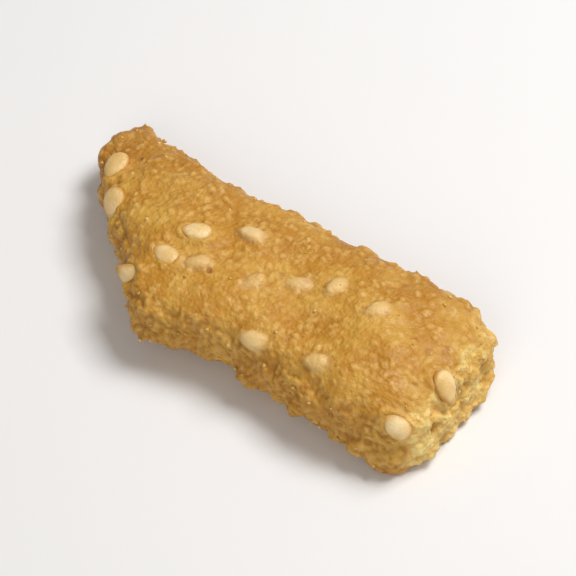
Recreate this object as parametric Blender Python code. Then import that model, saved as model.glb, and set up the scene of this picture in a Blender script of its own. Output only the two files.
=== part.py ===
"""A sesame stick: a short flat bar of wheat dough, fried brown, with sesame seeds in its crust.

The stick lies on its broad underside. +X runs along it from the slanting, tapered end to the
broken end, +Y across it, and +Z up. The origin is under the middle of its box, on the floor.
The body starts as a UV sphere whose rings are carried along the bar, and is raised and sunk by
the crust's relief. The seeds are fused to it by one Boolean union.
"""

import math

import bmesh
import bpy
import numpy as np
from mathutils import Matrix, Vector

# Driving sizes, in metres.
LENGTH = 0.0361
WIDTH = 0.0135
THICKNESS = 0.0066
SEED_LENGTH = 0.0027
SEED_WIDTH = 0.0017
SEED_THICKNESS = 0.0009

# The outline from above. Each row is a place along the stick, from -1 at the tapered end to 1 at
# the broken end, then how far the middle lies to the far side and the half width, in half
# WIDTHs, and last the thickness in THICKNESSes. The near side is cut away at the tapered end.
STATIONS = (
    (-1.00, 0.91, 0.57, 0.74),
    (-0.86, 0.64, 0.62, 0.84),
    (-0.66, 0.36, 0.69, 0.93),
    (-0.50, 0.15, 0.81, 0.98),
    (-0.36, -0.07, 1.05, 1.02),
    (-0.18, -0.05, 1.06, 1.02),
    (0.05, 0.06, 1.00, 0.98),
    (0.32, 0.07, 1.00, 0.98),
    (0.58, 0.09, 1.06, 1.02),
    (0.79, 0.10, 1.07, 1.04),
    (1.00, 0.12, 0.92, 0.94),
)
STATION_BLEND = 0.10  # how far along the outline each corner between stations is rounded
SECTION_SQUARENESS = 2.7  # 2 is an ellipse, and more is nearer to a box
TAPERED_SQUARENESS = 4.6  # the same, for the end in the side view
BROKEN_SQUARENESS = 8.0
ARCH = 0.0005  # the middle stands this much higher than the ends
TWIST = math.radians(3)  # the section leans one way at one end and the other way at the other
BREAK_SLANT = 0.22  # the broken end's foot runs out further than its rim, per unit of height

# The crust's relief in metres: how wide a swelling is, and how high the highest stands.
SWELL_SIZE, SWELL_HEIGHT = 0.0066, 0.0009
LUMP_SIZE, LUMP_HEIGHT = 0.0026, 0.0004
RAGGED_SIZE, RAGGED_HEIGHT = 0.0019, 0.0005
CRUMB_SIZE, CRUMB_HEIGHT = 0.0018, 0.0008
RAGGED_LEAN = 0.2  # the ragged sides stand out more than they fall back
FLAT_DEPTH = 0.00050  # the underside is cut flat this far above its lowest point

# Torn bits that stand out from the sides: the place along, the angle round the section in
# degrees (0 is the far side and 90 the top), the reach and the radius in metres.
CRAGS = (
    (-0.985, 150, 0.0007, 0.0010),
    (-0.99, 105, 0.0006, 0.0013),
    (-0.30, 200, 0.0002, 0.0011),
    (-0.08, 14, 0.0003, 0.0009),
    (0.22, 196, 0.0005, 0.0010),
    (0.46, 196, 0.0004, 0.0008),
    (0.52, 14, 0.0002, 0.0009),
    (0.80, 196, 0.0005, 0.0012),
    (0.90, 205, 0.0011, 0.0014),
    (0.985, 38, 0.0007, 0.0009),
)

# Seeds that show on the broad upper face: the place along, the place across from -1 (near) to 1
# (far), the turn about the upright in degrees, and the share of its thickness that stands proud.
FACE_SEEDS = (
    (-0.85, -0.55, 99, 0.62),
    (-0.72, -0.86, 118, 0.60),
    (-0.42, -0.92, 8, 0.52),
    (-0.33, -0.43, -6, 0.54),
    (-0.30, 0.00, 26, 0.58),
    (-0.19, -0.32, 40, 0.34),
    (-0.11, 0.31, 12, 0.44),
    (0.05, -0.28, 70, 0.32),
    (0.20, 0.03, 30, 0.36),
    (0.21, -0.84, 12, 0.42),
    (0.34, 0.20, 85, 0.36),
    (0.50, -0.70, 20, 0.34),
    (0.56, 0.14, 60, 0.34),
    (0.92, -0.88, -33, 0.60),
    (0.985, -0.20, 74, 0.62),
)
SCATTERED_SEEDS = 26
SEED_SPACING = 0.0031
SHOWN_SIDE = (0.39, -0.51, 0.77)  # FACE_SEEDS holds every seed that shows from this side
SHOWN_SHARE = 0.0  # the drawn seeds lie only where the crust faces that side less than this
DRAW = 20  # the seed of the random draw
FLOOR_CLEARANCE = 0.0004  # no seed comes this near to the floor

# How finely the body and a seed are faceted.
BODY_AROUND, BODY_ALONG = 46, 72
SEED_AROUND, SEED_ALONG = 6, 4
TABLE_STEPS = 600
HASH_BITS = 0xFFFFFFFF

CRUST_COLOUR = (0.58, 0.31, 0.07, 1.0)
CRUST_ROUGHNESS = 0.55


def corner_slopes(cell, draw):
    """A pseudo-random direction for each corner of the noise grid, from a hash of its place."""
    mixed = (cell[..., 0] * 73856093 ^ cell[..., 1] * 19349663 ^ cell[..., 2] * 83492791) & HASH_BITS
    mixed = (mixed ^ draw * 2654435 ^ mixed >> 13) * 1274126177 & HASH_BITS
    mixed = (mixed ^ mixed >> 16) * 668265263 & HASH_BITS
    thirds = [mixed >> shift & 1023 for shift in (1, 11, 21)]
    return np.stack(thirds, axis=-1) / 511.5 - 1.0


def noise(points, draw):
    """Gradient noise: each corner of a unit grid slopes its own way, and the slopes blend."""
    cell = np.floor(points).astype(np.int64)
    within = points - cell
    ease = within**3 * (within * (within * 6 - 15) + 10)
    total = np.zeros(points.shape[:-1])
    for corner in np.ndindex(2, 2, 2):
        slopes = corner_slopes(cell + corner, draw)
        weight = np.prod(np.where(corner, ease, 1 - ease), axis=-1)
        total += weight * np.sum(slopes * (within - corner), axis=-1)
    return total


def squared_circle(turn, squareness):
    """A circle's point pushed out towards the square round it: its shares across and up."""
    across, up = np.cos(turn), np.sin(turn)
    reach = (np.abs(across) ** squareness + np.abs(up) ** squareness) ** (-1 / squareness)
    return reach * across, reach * up


def even_turn(share, turns, x, y):
    """The turn at a share of the length of the curve that has points x, y at those turns."""
    travelled = np.concatenate([[0], np.cumsum(np.hypot(np.diff(x), np.diff(y)))])
    return np.interp(share, travelled / travelled[-1], turns)


def end_squareness(turn):
    """The squareness of the end that this side-view turn is on."""
    return np.where(np.cos(turn) < 0, TAPERED_SQUARENESS, BROKEN_SQUARENESS)


def side_turn(along):
    """The side-view turn at a share of the way along the stick, from the tapered end at 0."""
    turns = np.linspace(math.pi, 0, TABLE_STEPS)
    place, fill = squared_circle(turns, end_squareness(turns))
    return even_turn(along, turns, place * LENGTH / 2, fill * (WIDTH + THICKNESS) / 4)


def section_turn(around):
    """The section's turn at a share of the way round it, from the far side and over the top."""
    turns = np.linspace(0, math.tau, TABLE_STEPS)
    across, upward = squared_circle(turns, SECTION_SQUARENESS)
    return even_turn(around, turns, across * WIDTH / 2, upward * THICKNESS / 2)


def turn_at(place, squareness):
    """The upper turn of a squared circle whose share across is this place, from -1 to 1."""
    return math.atan2((1 - abs(place) ** squareness) ** (1 / squareness), place)


def side_turn_at(place):
    """The side-view turn at a place along the stick, from -1 to 1."""
    return turn_at(place, BROKEN_SQUARENESS if place > 0 else TAPERED_SQUARENESS)


def station(place):
    """The sideways shift, half width and thickness at a place along, in their shares."""
    places, *columns = np.array(STATIONS).T
    steps = np.linspace(-STATION_BLEND, STATION_BLEND, 9)
    weights = 1 + np.cos(steps / STATION_BLEND * math.pi * 0.9)
    weights /= weights.sum()
    return [
        sum(w * np.interp(place + s, places, column) for w, s in zip(weights, steps))
        for column in columns
    ]


def bare_surface(along_turn, around_turn):
    """The bar before its relief: its points, and the directions that face out of it.

    A cross-section is a squared ellipse. Its middle and its width follow the stations, and its
    size falls to nothing at both ends by a squared ellipse in the side view. Where the stations
    make it thinner, its middle sinks, so that its foot stays level."""
    end_power = end_squareness(along_turn) - 1
    place, fill = squared_circle(along_turn, end_power + 1)
    across, upward = squared_circle(around_turn, SECTION_SQUARENESS)
    shift, half_width, thickness = station(place)
    y_reach = half_width * WIDTH / 2
    z_reach = thickness * THICKNESS / 2
    y_out = across * fill * y_reach
    z_out = upward * fill * z_reach
    lean = np.tan(TWIST * place)
    broken = np.clip(place * 4 - 3, 0, 1)
    x = place * LENGTH / 2 - BREAK_SLANT * broken * z_out
    y = shift * WIDTH / 2 + y_out - lean * z_out
    middle = ARCH * (1 - place**2) + z_reach - THICKNESS / 2
    z = middle + z_out + lean * y_out
    side_power = SECTION_SQUARENESS - 1
    facing = np.stack(
        [
            np.sign(place) * np.abs(place) ** end_power / (LENGTH / 2),
            np.sign(across) * np.abs(across) ** side_power * fill**end_power / y_reach,
            np.sign(upward) * np.abs(upward) ** side_power * fill**end_power / z_reach,
        ],
        axis=-1,
    )
    facing /= np.linalg.norm(facing, axis=-1, keepdims=True)
    return np.stack([x, y, z], axis=-1), facing


def crag_reach(points):
    """How far the torn bits push the crust out: each is a steep round hump."""
    total = np.zeros(points.shape[:-1])
    for place, degrees, reach, radius in CRAGS:
        centre, _ = bare_surface(side_turn_at(place), math.radians(degrees))
        away = np.linalg.norm(points - centre, axis=-1) / radius
        total += reach * np.exp(-(away**3))
    return total


def relief(points, facing):
    """How far the crust stands out from the bare bar, in metres."""
    swell = SWELL_HEIGHT * noise(points / SWELL_SIZE, 1)
    lumps = LUMP_HEIGHT * noise(points / LUMP_SIZE, 2)
    on_side = np.clip(1.6 * np.abs(facing[..., 1]) - 0.6, 0, 1)
    ragged = RAGGED_HEIGHT * on_side * (noise(points / RAGGED_SIZE, 3) + RAGGED_LEAN)
    on_break = np.clip(2.2 * facing[..., 0] - 0.9, 0, 1)
    crumb = CRUMB_HEIGHT * on_break * noise(points / CRUMB_SIZE, 4)
    return swell + lumps + ragged + crumb + crag_reach(points)


def crust(along_turn, around_turn):
    """The finished surface: the bare points moved out by the relief, with their directions."""
    points, facing = bare_surface(along_turn, around_turn)
    return points + facing * relief(points, facing)[..., None], facing


def carried_sphere():
    """A UV sphere whose rings are carried along the stick, and the height of its flat underside."""
    bm = bmesh.new()
    bmesh.ops.create_uvsphere(bm, u_segments=BODY_AROUND, v_segments=BODY_ALONG, radius=1.0)
    unit = np.array([v.co for v in bm.verts])
    along = np.arccos(np.clip(-unit[:, 2], -1, 1)) / math.pi
    around = np.arctan2(unit[:, 1], unit[:, 0]) / math.tau % 1.0
    points, _ = crust(side_turn(along), section_turn(around))
    floor = points[:, 2].min() + FLAT_DEPTH
    points[:, 2] = np.maximum(points[:, 2], floor)
    for vert, point in zip(bm.verts, points):
        vert.co = point
    return bm, floor


def seed_places():
    """(side turn, section turn, spin, proud share) of each seed: the face's, then drawn ones.

    A drawn seed is kept where it faces away from the shown side and is clear of every other."""
    chosen = []
    for place, across, degrees, proud in FACE_SEEDS:
        around_turn = turn_at(across, SECTION_SQUARENESS)
        chosen.append((side_turn_at(place), around_turn, math.radians(degrees), proud))
    centres = [bare_surface(seed[0], seed[1])[0] for seed in chosen]
    draw = np.random.default_rng(DRAW)
    while len(chosen) < len(FACE_SEEDS) + SCATTERED_SEEDS:
        along, around, spin, proud = draw.uniform((0.05, 0, 0, 0.3), (0.93, 1, math.pi, 0.6))
        seed = (side_turn(along), section_turn(around), spin, proud)
        centre, facing = bare_surface(seed[0], seed[1])
        nearest = min(np.linalg.norm(centre - other) for other in centres)
        if facing @ SHOWN_SIDE < SHOWN_SHARE and nearest > SEED_SPACING:
            chosen.append(seed)
            centres.append(centre)
    return chosen


def seed_matrix(along_turn, around_turn, spin, proud):
    """The placement of one seed: flat on the crust, and turned about the crust's own facing."""
    point, facing = crust(along_turn, around_turn)
    up = Vector(facing)
    side = up.cross(Vector((0, 0, 1)) if abs(up.z) < 0.9 else Vector((0, 1, 0))).normalized()
    turned = Matrix.Rotation(spin, 3, up) @ side
    axes = Matrix((turned, up.cross(turned), up)).transposed().to_4x4()
    return Matrix.Translation(Vector(point) + up * (proud - 0.5) * SEED_THICKNESS) @ axes


def add_seed(number, placement, collection):
    """One seed: a UV sphere pressed flat and drawn to a blunt point at one end."""
    bm = bmesh.new()
    bmesh.ops.create_uvsphere(bm, u_segments=SEED_AROUND, v_segments=SEED_ALONG, radius=0.5)
    bmesh.ops.rotate(bm, verts=bm.verts, matrix=Matrix.Rotation(math.pi / 2, 3, "Y"))
    for vert in bm.verts:
        taper = 1.0 - 0.55 * vert.co.x
        vert.co.y *= taper * SEED_WIDTH
        vert.co.z *= taper * SEED_THICKNESS
        vert.co.x *= SEED_LENGTH
    mesh = bpy.data.meshes.new(f"seed_{number}")
    bm.to_mesh(mesh)
    bm.free()
    mesh.transform(placement)
    collection.objects.link(bpy.data.objects.new(mesh.name, mesh))


def lowest(placement):
    """The lowest that a seed with this placement could reach."""
    upright = (placement.to_3x3() @ Vector((0, 0, 1))).z
    reach = math.hypot(SEED_LENGTH * math.sqrt(max(0, 1 - upright**2)), SEED_THICKNESS) / 2
    return placement.translation.z - reach


def fuse_seeds(body, collection):
    """Joins every seed to the body by one union, and removes the loose seeds."""
    union = body.modifiers.new("Seeds", "BOOLEAN")
    union.operation = "UNION"
    union.operand_type = "COLLECTION"
    union.collection = collection
    union.solver = "EXACT"
    graph = bpy.context.evaluated_depsgraph_get()
    fused = bpy.data.meshes.new_from_object(body.evaluated_get(graph))
    body.modifiers.remove(union)
    body.data = fused
    for seed in list(collection.objects):
        bpy.data.objects.remove(seed)
    bpy.data.collections.remove(collection)


def centre_on_origin(mesh):
    """Moves the mesh so that the origin is under the middle of its box."""
    corners = np.array([v.co for v in mesh.vertices])
    middle = (corners.min(axis=0) + corners.max(axis=0)) / 2
    mesh.transform(Matrix.Translation((-middle[0], -middle[1], 0)))


def crust_material():
    material = bpy.data.materials.new("fried_crust")
    material.use_nodes = True
    shader = material.node_tree.nodes["Principled BSDF"]
    shader.inputs["Base Color"].default_value = CRUST_COLOUR
    shader.inputs["Roughness"].default_value = CRUST_ROUGHNESS
    shader.inputs["Metallic"].default_value = 0.0
    return material


def build():
    for old in list(bpy.data.objects):
        bpy.data.objects.remove(old)
    stick = bpy.data.collections.new("sesame_stick")
    loose_seeds = bpy.data.collections.new("loose_seeds")
    bpy.context.scene.collection.children.link(stick)
    bpy.context.scene.collection.children.link(loose_seeds)
    bm, floor = carried_sphere()
    mesh = bpy.data.meshes.new("sesame_stick")
    bm.to_mesh(mesh)
    bm.free()
    body = bpy.data.objects.new("sesame_stick", mesh)
    stick.objects.link(body)
    to_floor = Matrix.Translation((0, 0, -floor))
    mesh.transform(to_floor)
    for number, seed in enumerate(seed_places()):
        placement = to_floor @ seed_matrix(*seed)
        if lowest(placement) > FLOOR_CLEARANCE:
            add_seed(number, placement, loose_seeds)
    fuse_seeds(body, loose_seeds)
    centre_on_origin(body.data)
    body.data.materials.clear()
    body.data.materials.append(crust_material())


build()
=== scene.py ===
"""The looks of a sesame stick: its fried crust, its seeds, its crumbs and a plain studio.

The file is laid out as an add-on and run as a script. Every piece is a surface of two
parameters, worked out with numpy. The crust follows the same formulas as the CAD solid, from
the same sizes, and adds the relief that is too fine for the solid.
"""

import math

import bpy
import numpy as np
from bpy.props import FloatProperty, FloatVectorProperty, IntProperty, PointerProperty
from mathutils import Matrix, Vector


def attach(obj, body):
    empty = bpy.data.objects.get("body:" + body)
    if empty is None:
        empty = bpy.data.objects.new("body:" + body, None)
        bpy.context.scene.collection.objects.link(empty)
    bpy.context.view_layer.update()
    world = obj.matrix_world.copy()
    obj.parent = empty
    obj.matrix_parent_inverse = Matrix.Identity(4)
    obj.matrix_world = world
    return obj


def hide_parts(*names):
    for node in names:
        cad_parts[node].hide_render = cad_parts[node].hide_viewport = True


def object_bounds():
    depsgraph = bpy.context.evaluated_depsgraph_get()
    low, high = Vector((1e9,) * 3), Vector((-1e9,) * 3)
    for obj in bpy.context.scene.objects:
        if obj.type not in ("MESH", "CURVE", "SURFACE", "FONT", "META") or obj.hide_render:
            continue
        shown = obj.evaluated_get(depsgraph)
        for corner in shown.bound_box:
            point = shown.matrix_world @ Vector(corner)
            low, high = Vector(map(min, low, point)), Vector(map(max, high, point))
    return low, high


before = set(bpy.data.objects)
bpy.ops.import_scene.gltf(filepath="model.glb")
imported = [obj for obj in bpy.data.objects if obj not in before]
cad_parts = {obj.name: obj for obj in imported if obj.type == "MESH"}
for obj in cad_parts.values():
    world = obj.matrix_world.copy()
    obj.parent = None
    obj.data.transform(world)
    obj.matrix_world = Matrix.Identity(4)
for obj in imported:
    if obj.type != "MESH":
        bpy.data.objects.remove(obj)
CAD_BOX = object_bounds()
BODY = "root"
NODE = "sesame_stick"

bl_info = {
    "name": "Sesame Stick",
    "version": (1, 0, 0),
    "blender": (4, 5, 0),
    "location": "View3D > Sidebar > Snack",
    "description": "Adds a fried sesame stick with its seeds and crumbs, and a plain studio",
    "category": "Add Mesh",
}

# The outline from above, as in the CAD. Each row is a place along the stick, from -1 at the
# tapered end to 1 at the broken end, then how far the middle lies to the far side and the half
# width, in half widths, and last the thickness in thicknesses.
STATIONS = (
    (-1.00, 0.91, 0.57, 0.74),
    (-0.86, 0.64, 0.62, 0.84),
    (-0.66, 0.36, 0.69, 0.93),
    (-0.50, 0.15, 0.81, 0.98),
    (-0.36, -0.07, 1.05, 1.02),
    (-0.18, -0.05, 1.06, 1.02),
    (0.05, 0.06, 1.00, 0.98),
    (0.32, 0.07, 1.00, 0.98),
    (0.58, 0.09, 1.06, 1.02),
    (0.79, 0.10, 1.07, 1.04),
    (1.00, 0.12, 0.92, 0.94),
)
STATION_BLEND, BLEND_STEPS = 0.10, 9  # how far along a corner is rounded, and in how many steps
BLEND_FALL = 0.9  # how near to nothing the furthest of those steps counts
SECTION_SQUARENESS = 2.7
TAPERED_SQUARENESS = 4.6
BROKEN_SQUARENESS = 8.0
ARCH = 0.0005
TWIST = math.radians(3)
BREAK_SLANT = 0.22
SLANT_RAMP = (4, 3)  # the slope and the start of the straight rise towards the break

# The CAD's relief, in metres: how wide a swelling is, and how high the highest stands.
SWELL_SIZE, SWELL_HEIGHT = 0.0066, 0.0009
LUMP_SIZE, LUMP_HEIGHT = 0.0026, 0.0004
RAGGED_SIZE, RAGGED_HEIGHT = 0.0019, 0.0005
CRUMB_SIZE, CRUMB_HEIGHT = 0.0018, 0.0008
RAGGED_LEAN = 0.2
RAGGED_RAMP = (1.6, 0.6)  # how the ragged relief comes in where the crust turns to the sides
CRUMB_RAMP = (2.2, 0.9)  # the same for the crumb, where it turns to the break

# Torn bits on the sides: the place along, the angle round the section in degrees, the reach
# and the radius in metres.
CRAGS = (
    (-0.985, 150, 0.0007, 0.0010),
    (-0.99, 105, 0.0006, 0.0013),
    (-0.30, 200, 0.0002, 0.0011),
    (-0.08, 14, 0.0003, 0.0009),
    (0.22, 196, 0.0005, 0.0010),
    (0.46, 196, 0.0004, 0.0008),
    (0.52, 14, 0.0002, 0.0009),
    (0.80, 196, 0.0005, 0.0012),
    (0.90, 205, 0.0011, 0.0014),
    (0.985, 38, 0.0007, 0.0009),
)

# Seeds on the upper face: the place along, the place across from -1 (near) to 1 (far), the turn
# about the upright in degrees, and the share of its thickness that stands proud.
FACE_SEEDS = (
    (-0.85, -0.55, 99, 0.62),
    (-0.72, -0.86, 118, 0.60),
    (-0.42, -0.92, 8, 0.52),
    (-0.33, -0.43, -6, 0.54),
    (-0.30, 0.00, 26, 0.58),
    (-0.19, -0.32, 40, 0.34),
    (-0.11, 0.31, 12, 0.44),
    (0.05, -0.28, 70, 0.32),
    (0.20, 0.03, 30, 0.36),
    (0.21, -0.84, 12, 0.42),
    (0.34, 0.20, 85, 0.36),
    (0.50, -0.70, 20, 0.34),
    (0.56, 0.14, 60, 0.34),
    (0.92, -0.88, -33, 0.60),
    (0.985, -0.20, 74, 0.62),
)
SCATTERED_SEEDS = 26
SEED_SPACING = 0.0031
SHOWN_SIDE = (0.39, -0.51, 0.77)  # FACE_SEEDS holds every seed that shows from this side
SHOWN_SHARE = 0.0  # the drawn seeds lie only where the crust faces that side less than this
SEED_DRAW = 20
# The lowest and highest of a drawn seed's share along, share around, spin and proud share.
SCATTER_FROM = (0.05, 0, 0, 0.3)
SCATTER_TO = (0.93, 1, math.pi, 0.6)
UPRIGHT = 0.9  # past this a facing counts as upright, and a seed's side is taken from another axis
FLOOR_CLEARANCE = 0.0004
SEED_TAPER = 0.55  # how much narrower a seed is towards its point

# Where the CAD's floor and the middle of its box lie in the bar's own coordinates.
FOOT = -0.002760
MIDDLE = (0.000119, 0.000045)

# How finely the surfaces are divided: round the section, and from end to end.
CRUST_AROUND, CRUST_ALONG = 290, 330
SEED_AROUND, SEED_ALONG = 20, 14
CRUMB_AROUND, CRUMB_ALONG = 6, 4
TABLE_STEPS = 600

# What the noise is mixed from: large odd numbers, and the ten bits that each slope is cut to.
HASH_BITS = 0xFFFFFFFF
CORNER_PRIMES = (73856093, 19349663, 83492791)
DRAW_PRIME, FIRST_PRIME, SECOND_PRIME = 2654435, 1274126177, 668265263
SLOPE_BITS = 1023
SLOPE_SHIFTS = (1, 11, 21)
CELL_SPREAD = 0.45  # how far a cell's centre is thrown from its middle
FAR_AWAY = 9.0  # further than any centre

# The fine relief that the solid leaves out: sizes and heights in metres. A range holds the low
# and the high end of a smooth step.
WARP_SIZE, WARP_HEIGHT = 0.0016, 0.0005
PATCH_SIZE, PATCH_RANGE = 0.0050, (-0.35, 0.35)
CALM_HEIGHT = 0.45  # how high pebbles are in the calmest patches, as a share
SMALL_PEBBLES = 0.5  # the small pebbles' width and height, as shares of the large ones'
PEBBLE_MEAN = 0.36
GRAIN_LEAST = 0.3  # how high the lowest grain is, as a share
GRAIN_RANGE, GRAIN_TOP = (0.75, 0.10), (0.55, 0.20)  # a grain's dome, and its pale top, a painted highlight
PORE_RANGE, PORE_CHOICE = (0.17, 0.06), (0.72, 0.95)  # a pore's wall, and the cells that have one
SIDE_RANGE = (0.45, 0.95)  # where the sides are shredded, by how far they face sideways
FILM_UNDER = 0.46  # seeds that stand less proud than this are covered by dough
FILM_THICKNESS = 0.00004
FILM_EDGE = (1.0, 0.6)  # where the dough rises over a covered seed, in seed radii
FILM_FADE = (1.1, 0.35)  # where a covered seed's colour comes through
FILM_SHOWS = (0.20, 0.46)  # how proud a covered seed stands when it shows least, and most
SEED_REACH = 0.002  # a seed changes no crust that is further above or below it
VALLEY_WIDTH = 0.10  # how rounded the valleys between pebbles are
BLUR = 3  # how many grid steps each way the relief is averaged over, to find its hollows
VALLEY_DEPTH = 0.00009  # a spot that lies this far under those round it gets the darkest painted shade, and one this far over them the brightest painted highlight
SHRED_SIZE, SHRED_HEIGHT = 0.0010, 0.00042
FLAKE_SIZE, FLAKE_HEIGHT = 0.0006, 0.00028
FLAKE_MEAN = 0.5
BREAK_EDGE_SIZE, BREAK_RANGE = 0.0013, (0.24, 0.60)
TEAR, FAR_TEAR = 0.45, 0.22  # how unevenly the crust tore, and how much more at the far side
LOAF_SIZE, LOAF_HEIGHT, LOAF_MEAN = 0.0014, 0.00044, 0.45
MORSEL_SIZE, MORSEL_HEIGHT, MORSEL_MEAN = 0.00055, 0.00040, 0.5
GAP_RANGE = (0.16, 0.0)  # how near to its neighbour a large morsel's edge is painted dark, as shade
PIT_SIZE, PIT_DEPTH, PIT_RANGE = 0.0011, 0.00030, (-0.05, -0.45)
PIT_SHADE = 0.8  # how dark a pit is painted, as shade, as a share of a gap
BREAK_PORES = 0.5  # how much of a pore's painted shade the break loses
PRESSED_SIZE, PRESSED_HEIGHT = 0.0009, 0.00016  # the faint relief where the stick lies
LIP_HEIGHT = 0.00022
LIP_PLACE, LIP_REACH = 0.97, 0.30  # in seed radii
LIP_UNEVENNESS = 1.0
LIP_SIZE = 0.0010  # how far apart a lip's high and low spots are
RIM_LOW, RIM_HIGH = 0.00018, 0.00042  # a seed is dusted with dough up to this far above the crust
SPECK_PUSH = 0.0006  # how far the specks' places are pushed about, in metres

# How browned the crust is, with painted shade: a share for all of it, and one for each part with its
# range.
TOAST_ALL = 0.10
SIDES_TOAST_AND_SHADE, SIDES_RANGE = 0.05, (0.25, 0.95)  # browning and painted shade, by how far the crust faces either side
FAR_TOAST_AND_SHADE, FAR_RANGE = 0.28, (0.05, 0.60)  # browning and painted shade, by how far it faces the far side
ACROSS_TOAST_AND_SHADE, ACROSS_RANGE = 0.22, (-0.1, 0.7)  # browning and painted shade, darker towards the far side, by its place across
UNDER_DARKENING, UNDER_RANGE = 0.30, (0.0, -0.8)  # darker, by how far it faces down
TIP_SHADE, TIP_SHADE_RANGE = 0.70, (0.55, 1.0)  # painted shade, by its place towards the tapered end
TOAST_SIZE, TOAST_PATCHES = 0.0042, 0.70
SMALL_TOAST_SIZE, SMALL_TOAST_PATCHES = TOAST_SIZE / 2.5, 0.50

# How the bare seeds differ from one another, and their own faint relief.
SEED_SHAPE_DRAW = 41
SEED_LEAST = (0.93, 0.92, 0.95)
SEED_MOST = (1.06, 1.08, 1.05)
SEED_BEND = 0.00012
SEED_RELIEF_SIZE, SEED_RELIEF_HEIGHT = 0.0007, 0.00003
SEED_APART = 900  # moves each seed to its own place in the noise, times its centre
RIM_SIZE, RIM_HEIGHT = 0.0008, 0.00016
SEED_SQUARENESS = 2.3
SEED_POINT, POINT_RANGE = 0.25, (0.1, 0.5)  # how much the point is drawn in, and from where
SEED_RIDGE = 0.15  # how much thinner a seed is at its edge

# The loose crumbs: where they are drawn, how large and how uneven they are.
CRUMB_DRAW, CRUMB_TRIES = 51, 12
CRUMB_MARGIN = 4  # rings at each end without crumbs
FACE_CHANCE, SIDE_CHANCE, BREAK_CHANCE = 0.05, 0.65, 0.9
BREAK_FACING = 0.8  # crust that faces the break's way more than this gets only the other chances
CRUMB_CLEARANCE = 0.0006
CRUMB_LEAST, CRUMB_MOST, CRUMB_SKEW = 0.45, 1.25, 1.5
SQUASH_LEAST, SQUASH_MOST = 0.5, 1.5
CRUMB_ROUGHNESS, CRUMB_RUGGED_SCALE = 0.9, 2.2
CRUMB_APART = 50
CRUMB_LIFT = 0.05  # how far a crumb's middle stands off the crust, in crumb sizes

# The node groups' kinds of socket and plain colours, and the ranges of their noises.
COLOUR_SOCKET, VALUE_SOCKET = "NodeSocketColor", "NodeSocketFloat"
GREY, WHITE = (0.5, 0.5, 0.5, 1), (1, 1, 1, 1)
NOISE_MIDDLE = 0.5
SPECK_MIDDLE = 0.1  # a speck is fully its own colour up to this far from its middle
GLOSS_RANGE = (0.35, 0.65)
LIGHT_DEPTHS = (1.0, 0.55, 0.25)  # how far red, green and blue light get in

# The studio, in metres and degrees. A light is its azimuth, elevation, distance, size, power in
# watts and colour.
FLOOR_RADII = (0.05, 0.2, 0.8, 2.5)
FLOOR_SIDES, FLOOR_DROP = 48, 0.00002
FLOOR_UNEVENNESS = 0.97
LIGHTS = {
    "key": (150, 60, 0.30, 0.14, 0.80, (1.0, 0.975, 0.94)),
    "fill": (20, 35, 0.35, 0.20, 0.30, (1.0, 0.97, 0.92)),
}
SURROUND, SURROUND_STRENGTH = (1.0, 0.94, 0.86), 0.26
CAMERA_ANGLE, CAMERA_DISTANCE = (37, 50), 0.264
CAMERA_SHIFT = (0.0018, 0.0014, 0)  # from the middle of the box to the middle of the picture
CAMERA_LENS, CAMERA_CLIP = 220, 0.005


def length_property(name, description, default):
    """A length that the user can change, in metres."""
    return FloatProperty(name=name, description=description, default=default, unit="LENGTH")


class StickSizes(bpy.types.PropertyGroup):
    """The driving sizes of the stick and its seeds, in metres."""

    length: length_property("Length", "From end to end", 0.0361)
    width: length_property("Width", "Across the upper face", 0.0135)
    thickness: length_property("Thickness", "From foot to face", 0.0066)
    seed_length: length_property("Seed Length", "Blunt end to point", 0.0027)
    seed_width: length_property("Seed Width", "Across a seed", 0.0017)
    seed_thickness: length_property("Seed Thickness", "Through a seed", 0.0009)
    pebble_size: length_property("Pebble Size", "Width of two pebbles", 0.0015)
    pebble_height: length_property("Pebble Height", "Height of a pebble", 0.00030)
    grain_size: length_property("Grain Size", "Width of a grain", 0.00062)
    grain_height: length_property("Grain Height", "Height of a grain", 0.00015)
    pore_spacing: length_property("Pore Spacing", "Between pores", 0.0021)
    pore_depth: length_property("Pore Depth", "Depth of a pore", 0.00020)
    crumb_size: length_property("Crumb Size", "Width of a loose crumb", 0.00022)
    crumbs: IntProperty(name="Crumbs", description="Number of loose crumbs", default=300, min=0)


def colour_property(name, description, default):
    """A colour that the user can change, as red, green and blue in linear light."""
    return FloatVectorProperty(
        name=name, description=description, default=default, subtype="COLOR", min=0, max=1, size=3
    )


class StickColours(bpy.types.PropertyGroup):
    """The colours of the crust, the seeds and the studio."""

    golden: colour_property("Golden", "The crust's main colour", (0.530, 0.250, 0.025))
    # Also the painted highlight on the high spots of the relief
    pale: colour_property("Pale", "Paler patches of crust", (0.635, 0.358, 0.062))
    # Browned crust; also the painted shade at the tapered end and on the far side
    toasted: colour_property("Toasted", "Crust that has browned most", (0.400, 0.155, 0.016))
    # The painted shade in the valleys between pebbles
    valley_shade: colour_property("Valley", "The valleys between pebbles", (0.400, 0.165, 0.014))
    # Pale grain, also the painted highlight on the tops of grains
    grain: colour_property("Grain", "Pale grains in the crust", (0.760, 0.490, 0.150))
    # The painted shade at the bottom of a pore
    pore: colour_property("Pore", "The bottom of a pore", (0.250, 0.085, 0.012))
    crumb: colour_property("Crumb", "The broken end", (0.930, 0.735, 0.270))
    crumb_shade: colour_property("Crumb Shade", "Hollows in the broken end", (0.800, 0.430, 0.095))
    # Painted glints on the broken end
    crumb_glint: colour_property("Crumb Glint", "Pale bits of the broken end", (0.930, 0.740, 0.330))
    flake: colour_property("Flake", "Loose flakes of crust", (0.800, 0.540, 0.210))
    seed: colour_property("Seed", "A seed's main colour", (0.950, 0.760, 0.430))
    seed_tan: colour_property("Seed Tan", "A seed's toasted patches", (0.730, 0.460, 0.150))
    floor: colour_property("Floor", "The studio floor", (0.84, 0.85, 0.88))


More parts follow.
